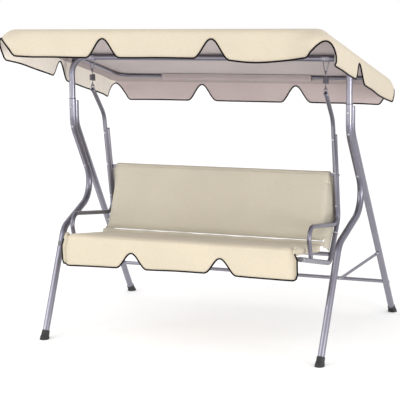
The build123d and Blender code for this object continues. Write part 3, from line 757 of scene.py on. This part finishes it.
def back_point(up, out=0.0):
    """A point of the back pad: up its front face, and out towards the sitter."""
    y = BACK_FOOT[0] + sin(BACK_LEAN) * up - cos(BACK_LEAN) * out
    z = BACK_FOOT[1] + cos(BACK_LEAN) * up + sin(BACK_LEAN) * out
    return y, z


def press_seams(thing, seams):
    """Pulls the cover in along sewn lines given as (distance function, depth, width)."""
    points = coordinates(thing.data).copy()
    normals = np.zeros(len(points) * 3)
    thing.data.vertices.foreach_get("normal", normals)
    normals = normals.reshape(-1, 3)
    for distance, depth, width in seams:
        away = distance(points)
        dip = depth * np.exp(-((away / width) ** 2))
        points -= normals * dip[:, None]
    set_coordinates(thing.data, points)


def end_seams(points):
    """Distance to the seams that close the covers at both ends."""
    left = np.abs(points[:, 0] - PAD_LEFT - 0.0135)
    right = np.abs(points[:, 0] - PAD_RIGHT + 0.0135)
    return np.minimum(left, right)


def keep_clear(thing):
    """Flattens the ends where they would press into the uprights."""
    points = coordinates(thing.data).copy()
    points[:, 0] = np.clip(points[:, 0], -PAD_LIMIT, PAD_LIMIT)
    set_coordinates(thing.data, points)


def build_seat_pad():
    swell = 0.006
    corners = (
        (SEAT_FRONT + 0.002, seat_plane(SEAT_FRONT) + swell * 0.6),
        (SEAT_REAR - 0.002, seat_plane(SEAT_REAR) + swell * 0.6),
        (SEAT_REAR - 0.002, seat_plane(SEAT_REAR, SEAT_THICK) - swell),
        (SEAT_FRONT + 0.002, seat_plane(SEAT_FRONT, SEAT_THICK) - swell),
    )
    pad = slab("seat_pad", corners, 0.013)
    inflate(pad, PAD_PRESSURE, PAD_CAP)
    points = coordinates(pad.data).copy()
    floor_z = SEAT_RAIL[1] + SEAT_BASE + SEAT_SLOPE * (points[:, 1] - BEAM_Y - SEAT_RAIL[0]) - 0.0004
    points[:, 2] = np.maximum(points[:, 2], floor_z)
    set_coordinates(pad.data, points)
    press_seams(pad, ((end_seams, 0.0016, 0.0035),))
    keep_clear(pad)
    return pad


def build_back_pad():
    swell = 0.006
    low_front = back_point(0.004, -swell)
    low_rear = back_point(0.004, -BACK_THICK + swell * 0.5)
    top_rear = back_point(BACK_HEIGHT, -BACK_THICK + swell * 0.5)
    top_front = back_point(BACK_HEIGHT, -swell)
    pad = slab("back_pad", (low_front, low_rear, top_rear, top_front), 0.011)
    inflate(pad, PAD_PRESSURE, PAD_CAP)

    def up_face(p):
        y = p[:, 1] - BEAM_Y - BACK_FOOT[0]
        z = p[:, 2] - BACK_FOOT[1]
        return y * sin(BACK_LEAN) + z * cos(BACK_LEAN)

    def top_seam(p):
        return np.abs(up_face(p) - (BACK_HEIGHT - 0.028))

    def tie_pleats(p):
        sideways = np.minimum(np.abs(p[:, 0] - PAD_LEFT), np.abs(p[:, 0] - PAD_RIGHT))
        return np.hypot(sideways, (up_face(p) - (BACK_HEIGHT - 0.075)) * 5.0)

    press_seams(
        pad,
        (
            (top_seam, 0.0020, 0.0042),
            (end_seams, 0.0014, 0.0035),
            (tie_pleats, 0.0055, 0.030),
        ),
    )
    points = coordinates(pad.data).copy()
    raised = np.clip((up_face(points) - (BACK_HEIGHT - 0.095)) / 0.030, 0, 1)
    reach = np.clip((PAD_LEFT + 0.060 - points[:, 0]) / 0.060, 0, 1)
    points[:, 0] -= EAR * raised * raised * (3 - 2 * raised) * reach
    set_coordinates(pad.data, points)
    keep_clear(pad)
    return pad


seat_pad = build_seat_pad()
finish_piece(seat_pad, "seat", seat_cloth)
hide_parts("seat_cushion")
back_pad = build_back_pad()
finish_piece(back_pad, "seat", back_cloth)
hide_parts("back_cushion")


def surface_of(thing):
    graph = bpy.context.evaluated_depsgraph_get()
    return BVHTree.FromObject(thing, graph)


seat_surface = surface_of(seat_pad)
back_surface = surface_of(back_pad)


def meet(surface, start, way, proud):
    """The point where a ray meets a pad, standing a little proud of it."""
    way = Vector(way).normalized()
    hit, _, _, _ = surface.ray_cast(Vector(start), way)
    return None if hit is None else hit - way * proud


# ---------------------------------------------------------------- seat skirt
def skirt_low(x):
    """Height of the skirt's hem across the bench."""
    z = SKIRT_LOW + bell(abs(x) - SKIRT_NOTCH_X, 0.085, SKIRT_NOTCH)
    over = max(SKIRT_LEFT + SKIRT_CORNER - x, x - SKIRT_RIGHT + SKIRT_CORNER)
    if over > 0:
        z += SKIRT_CORNER - (max(SKIRT_CORNER ** 2 - over ** 2, 0)) ** 0.5
    z -= 0.011 * smoothstep((-0.30 - x) / 0.30)
    return z + 0.0025 * sin(8 * x + 0.6)


def build_skirt():
    """The cloth that runs over the seat's front edge and hangs down to a scalloped hem."""
    columns = 240
    wrap_rows = 16
    fall_rows = 22
    centre = Vector((0, BEAM_Y - 0.400, seat_plane(-0.400, 0.018)))
    points = []
    hem = []
    stitch_line = []
    for i in range(columns + 1):
        x = SKIRT_LEFT + (SKIRT_RIGHT - SKIRT_LEFT) * i / columns
        inside = PAD_LEFT + 0.007 + (PAD_RIGHT - PAD_LEFT - 0.014) * i / columns
        last = None
        for j in range(wrap_rows + 1):
            share = j / wrap_rows
            turn = radians(62 - 140 * share)
            way = Vector((0, sin(turn), cos(turn)))
            start = Vector((inside, centre.y, centre.z)) + way * 0.2
            proud = -0.0006 + 0.0020 * smoothstep(share * 4)
            spot = meet(seat_surface, start, -way, proud)
            if spot is None:
                spot = Vector((inside, centre.y, centre.z)) + way * 0.03
            points.append(spot)
            last = spot
        low = skirt_low(x)
        for j in range(1, fall_rows + 1):
            share = j / fall_rows
            z = last.z + (low - last.z) * share
            fall = last.z - z
            ripple = 0.0035 * sin(9.5 * x + 0.4) + 0.002 * sin(26 * x + 2.0)
            y = last.y - 0.0020 * sin(pi * share) + (ripple + 0.003) * smoothstep(fall / 0.12)
            across = inside + (x - inside) * min(1.0, share * 3)
            points.append(Vector((across, y, z)))
        hem.append(points[-1])
        stitch_line.append(stitch_spot(points[-1], points[-4], Vector((0, -0.0005, 0))))
    ring = wrap_rows + fall_rows + 1
    faces = []
    for i in range(columns):
        for j in range(ring - 1):
            a = i * ring + j
            faces.append((a, a + 1, a + ring + 1, a + ring))
    skirt = mesh_object("seat_skirt", points, faces)
    shell = skirt.modifiers.new("thickness", "SOLIDIFY")
    shell.thickness = 0.0014
    shell.offset = -1
    apply_all(skirt)
    left = [points[j] for j in range(wrap_rows + 1, ring - 1)]
    right = [points[columns * ring + j] for j in range(wrap_rows + 1, ring - 1)]
    return skirt, left + hem + right[::-1], stitch_line[4:-4]


skirt, skirt_edge, skirt_stitch_line = build_skirt()
finish_piece(skirt, "seat", seat_cloth)
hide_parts("seat_valance")
skirt_piping = sweep("skirt_piping", skirt_edge, PIPING)
finish_piece(skirt_piping, "seat", piping_tape)
skirt_stitches = stitching("skirt_stitches", skirt_stitch_line)
finish_piece(skirt_stitches, "seat", seam_thread)


# ---------------------------------------------------------------- roll and flaps
def build_crease_roll():
    """The loose roll of cover where the seat meets the back, with a crease on each side."""
    path = []
    for i in range(181):
        x = PAD_LEFT + 0.004 + (PAD_RIGHT - PAD_LEFT - 0.006) * i / 180
        sway = 0.0014 * sin(7.0 * x) + 0.0008 * sin(19.0 * x + 1.0)
        path.append((x, BEAM_Y + CREASE[0] + sway, CREASE[1] - 0.6 * sway))
    roll = sweep("crease_roll", path, CREASE_RADIUS, sides=20)
    points = coordinates(roll.data).copy()
    centre = np.array([0, BEAM_Y + CREASE[0], CREASE[1]])
    offset = (points - centre) * np.array([0, 1, 1])
    swell = 0.07 * np.sin(points[:, 0] * 31.0) + 0.05 * np.sin(points[:, 0] * 57.0 + 2.0)
    set_coordinates(roll.data, points + offset * swell[:, None])
    return roll


crease_roll = build_crease_roll()
finish_piece(crease_roll, "seat", back_cloth)


def upright_axis_y(z):
    """The axis of the upright behind the pads, which bends forward below the arm."""
    if z > UPRIGHT_BEND_Z:
        return 0.3371 - UPRIGHT_LEAN * z
    return 0.0864 + UPRIGHT_LOW_SLOPE * (z - 0.3938)


def build_flap(side):
    """The cover's end flap, drawn back from the pads' end to the upright and tied there."""
    name = "left_flap" if side < 0 else "right_flap"
    pad_end = PAD_LEFT + 0.004 if side < 0 else PAD_RIGHT - 0.004
    columns = 20
    rows = 60
    points = []
    for i in range(rows + 1):
        share = i / rows
        y, z = back_point(-0.030 + 0.390 * share, -0.010)
        outside = Vector((side * 0.9, BEAM_Y + y, z))
        hit, _, _, _ = back_surface.ray_cast(outside, Vector((-side, 0, 0)))
        if hit is not None and abs(hit.x - pad_end) < 0.012:
            pad_end = hit.x - side * 0.0004
        near = Vector((pad_end, BEAM_Y + y, z))
        z = 0.448 + 0.372 * share
        far = Vector((side * 0.6225, BEAM_Y + upright_axis_y(z) - 0.006, z))
        for k in range(columns + 1):
            along = k / columns
            spot = near.lerp(far, along)
            pull = sin(pi * along)
            spot.x -= side * 0.0035 * pull
            spot.x += 0.0012 * pull * sin(34 * share + 5 * along)
            spot.z += 0.010 * pull * (1 - share) ** 3
            points.append(spot)
    faces = []
    wide = columns + 1
    for i in range(rows):
        for k in range(columns):
            a = i * wide + k
            faces.append((a, a + 1, a + wide + 1, a + wide))
    flap = mesh_object(name, points, faces)
    shell = flap.modifiers.new("thickness", "SOLIDIFY")
    shell.thickness = 0.0012
    shell.offset = 0
    apply_all(flap)
    finish_piece(flap, "seat", back_cloth)


build_flap(-1)
build_flap(1)


# ---------------------------------------------------------------- stitching
def back_seam_path(up):
    path = []
    for i in range(121):
        x = -0.590 + 1.180 * i / 120
        y, z = back_point(up, 0.05)
        spot = meet(back_surface, (x, BEAM_Y + y, z), (0, cos(BACK_LEAN), -sin(BACK_LEAN)), 0.0002)
        if spot is not None:
            path.append(spot)
    return path


finish_piece(
    stitching("back_top_stitches", back_seam_path(BACK_HEIGHT - 0.028)), "seat", seam_thread
)


# ---------------------------------------------------------------- ties
def build_tie(side):
    """A narrow tape tied round the bent foot of the upright, holding the cover."""
    centre = Vector((side * HANG_X, BEAM_Y + upright_axis_y(TIE_Z), TIE_Z))
    across = Vector((1, 0, 0))
    rise = Vector((0, -cos(UPRIGHT_BEND), sin(UPRIGHT_BEND)))
    path = []
    for i in range(28):
        turn = 2 * pi * i / 28
        path.append(centre + across * (cos(turn) * TIE_RADIUS) + rise * (sin(turn) * TIE_RADIUS))
    name = "left_tie" if side < 0 else "right_tie"
    wrap = sweep(name, path, TIE_HALF_WIDTH, closed=True, sides=10, flat=0.28)
    finish_piece(wrap, "seat", tie_tape)


for side in (-1, 1):
    build_tie(side)


def build_collar(side):
    """The dark sealing ring where the beam's end drops into the leg."""
    _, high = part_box("left_front_leg" if side < 0 else "right_front_leg")
    path = []
    for i in range(32):
        turn = 2 * pi * i / 32
        x = side * LEG_X + cos(turn) * COLLAR_RADIUS
        path.append((x, BEAM_Y + sin(turn) * COLLAR_RADIUS, high[2] + 0.0008))
    collar = sweep("left_collar" if side < 0 else "right_collar", path, 0.0016, closed=True)
    finish_piece(collar, "frame", slots["rubber_black"])


build_collar(-1)
build_collar(1)


# ---------------------------------------------------------------- studio
def build_floor():
    """A pale studio floor, level in every direction."""
    rings = 48
    points = [(0, 0, 0)]
    for i in range(rings):
        turn = 2 * pi * i / rings
        points.append((cos(turn) * FLOOR_RADIUS, sin(turn) * FLOOR_RADIUS, 0))
    faces = [(0, i + 1, (i + 1) % rings + 1) for i in range(rings)]
    floor = mesh_object("studio_floor", points, faces)
    floor.data.materials.append(floor_material())


def soft_light(name, place, target, size, energy):
    lamp = bpy.data.lights.new(name, "AREA")
    lamp.shape = "RECTANGLE"
    lamp.size, lamp.size_y = size
    lamp.energy = energy
    holder = bpy.data.objects.new(name, lamp)
    holder.location = place
    way = Vector(target) - Vector(place)
    holder.rotation_euler = way.to_track_quat("-Z", "Y").to_euler()
    bpy.context.scene.collection.objects.link(holder)


def set_world(strength):
    world = bpy.data.worlds.new("studio")
    world.use_nodes = True
    back = world.node_tree.nodes["Background"]
    back.inputs["Color"].default_value = (1.0, 1.0, 1.0, 1)
    back.inputs["Strength"].default_value = strength
    bpy.context.scene.world = world


def set_camera():
    yaw, pitch, roll = CAMERA_YAW, CAMERA_PITCH, CAMERA_ROLL
    right = Vector((cos(yaw), sin(yaw), 0))
    ahead = Vector((-sin(yaw) * cos(pitch), cos(yaw) * cos(pitch), sin(pitch)))
    up = right.cross(ahead)
    across = right * cos(roll) + up * sin(roll)
    upward = up * cos(roll) - right * sin(roll)
    turn = Matrix((across, upward, -ahead)).transposed().to_4x4()
    lens = bpy.data.cameras.new("camera")
    lens.lens = CAMERA_LENS
    lens.sensor_width = 36.0
    lens.clip_end = 60.0
    camera = bpy.data.objects.new("camera", lens)
    camera.matrix_world = Matrix.Translation(CAMERA_PLACE) @ turn
    bpy.context.scene.collection.objects.link(camera)
    bpy.context.scene.camera = camera


build_floor()
set_world(1.0)
soft_light("key", (-2.6, -4.6, 3.4), (0, -0.2, 0.8), (2.4, 2.0), 56)
soft_light("fill", (4.6, -2.6, 0.75), (-0.6, 0, 1.3), (1.4, 1.4), 100)
soft_light("front", (0.8, -6.4, 1.1), (0, 0.2, 1.2), (3.0, 1.2), 36)
soft_light("left_strip", (-3.4, -2.2, 1.3), (0, 0, 0.8), (0.5, 2.4), 25)
set_camera()
bpy.context.scene.view_settings.view_transform = "Standard"
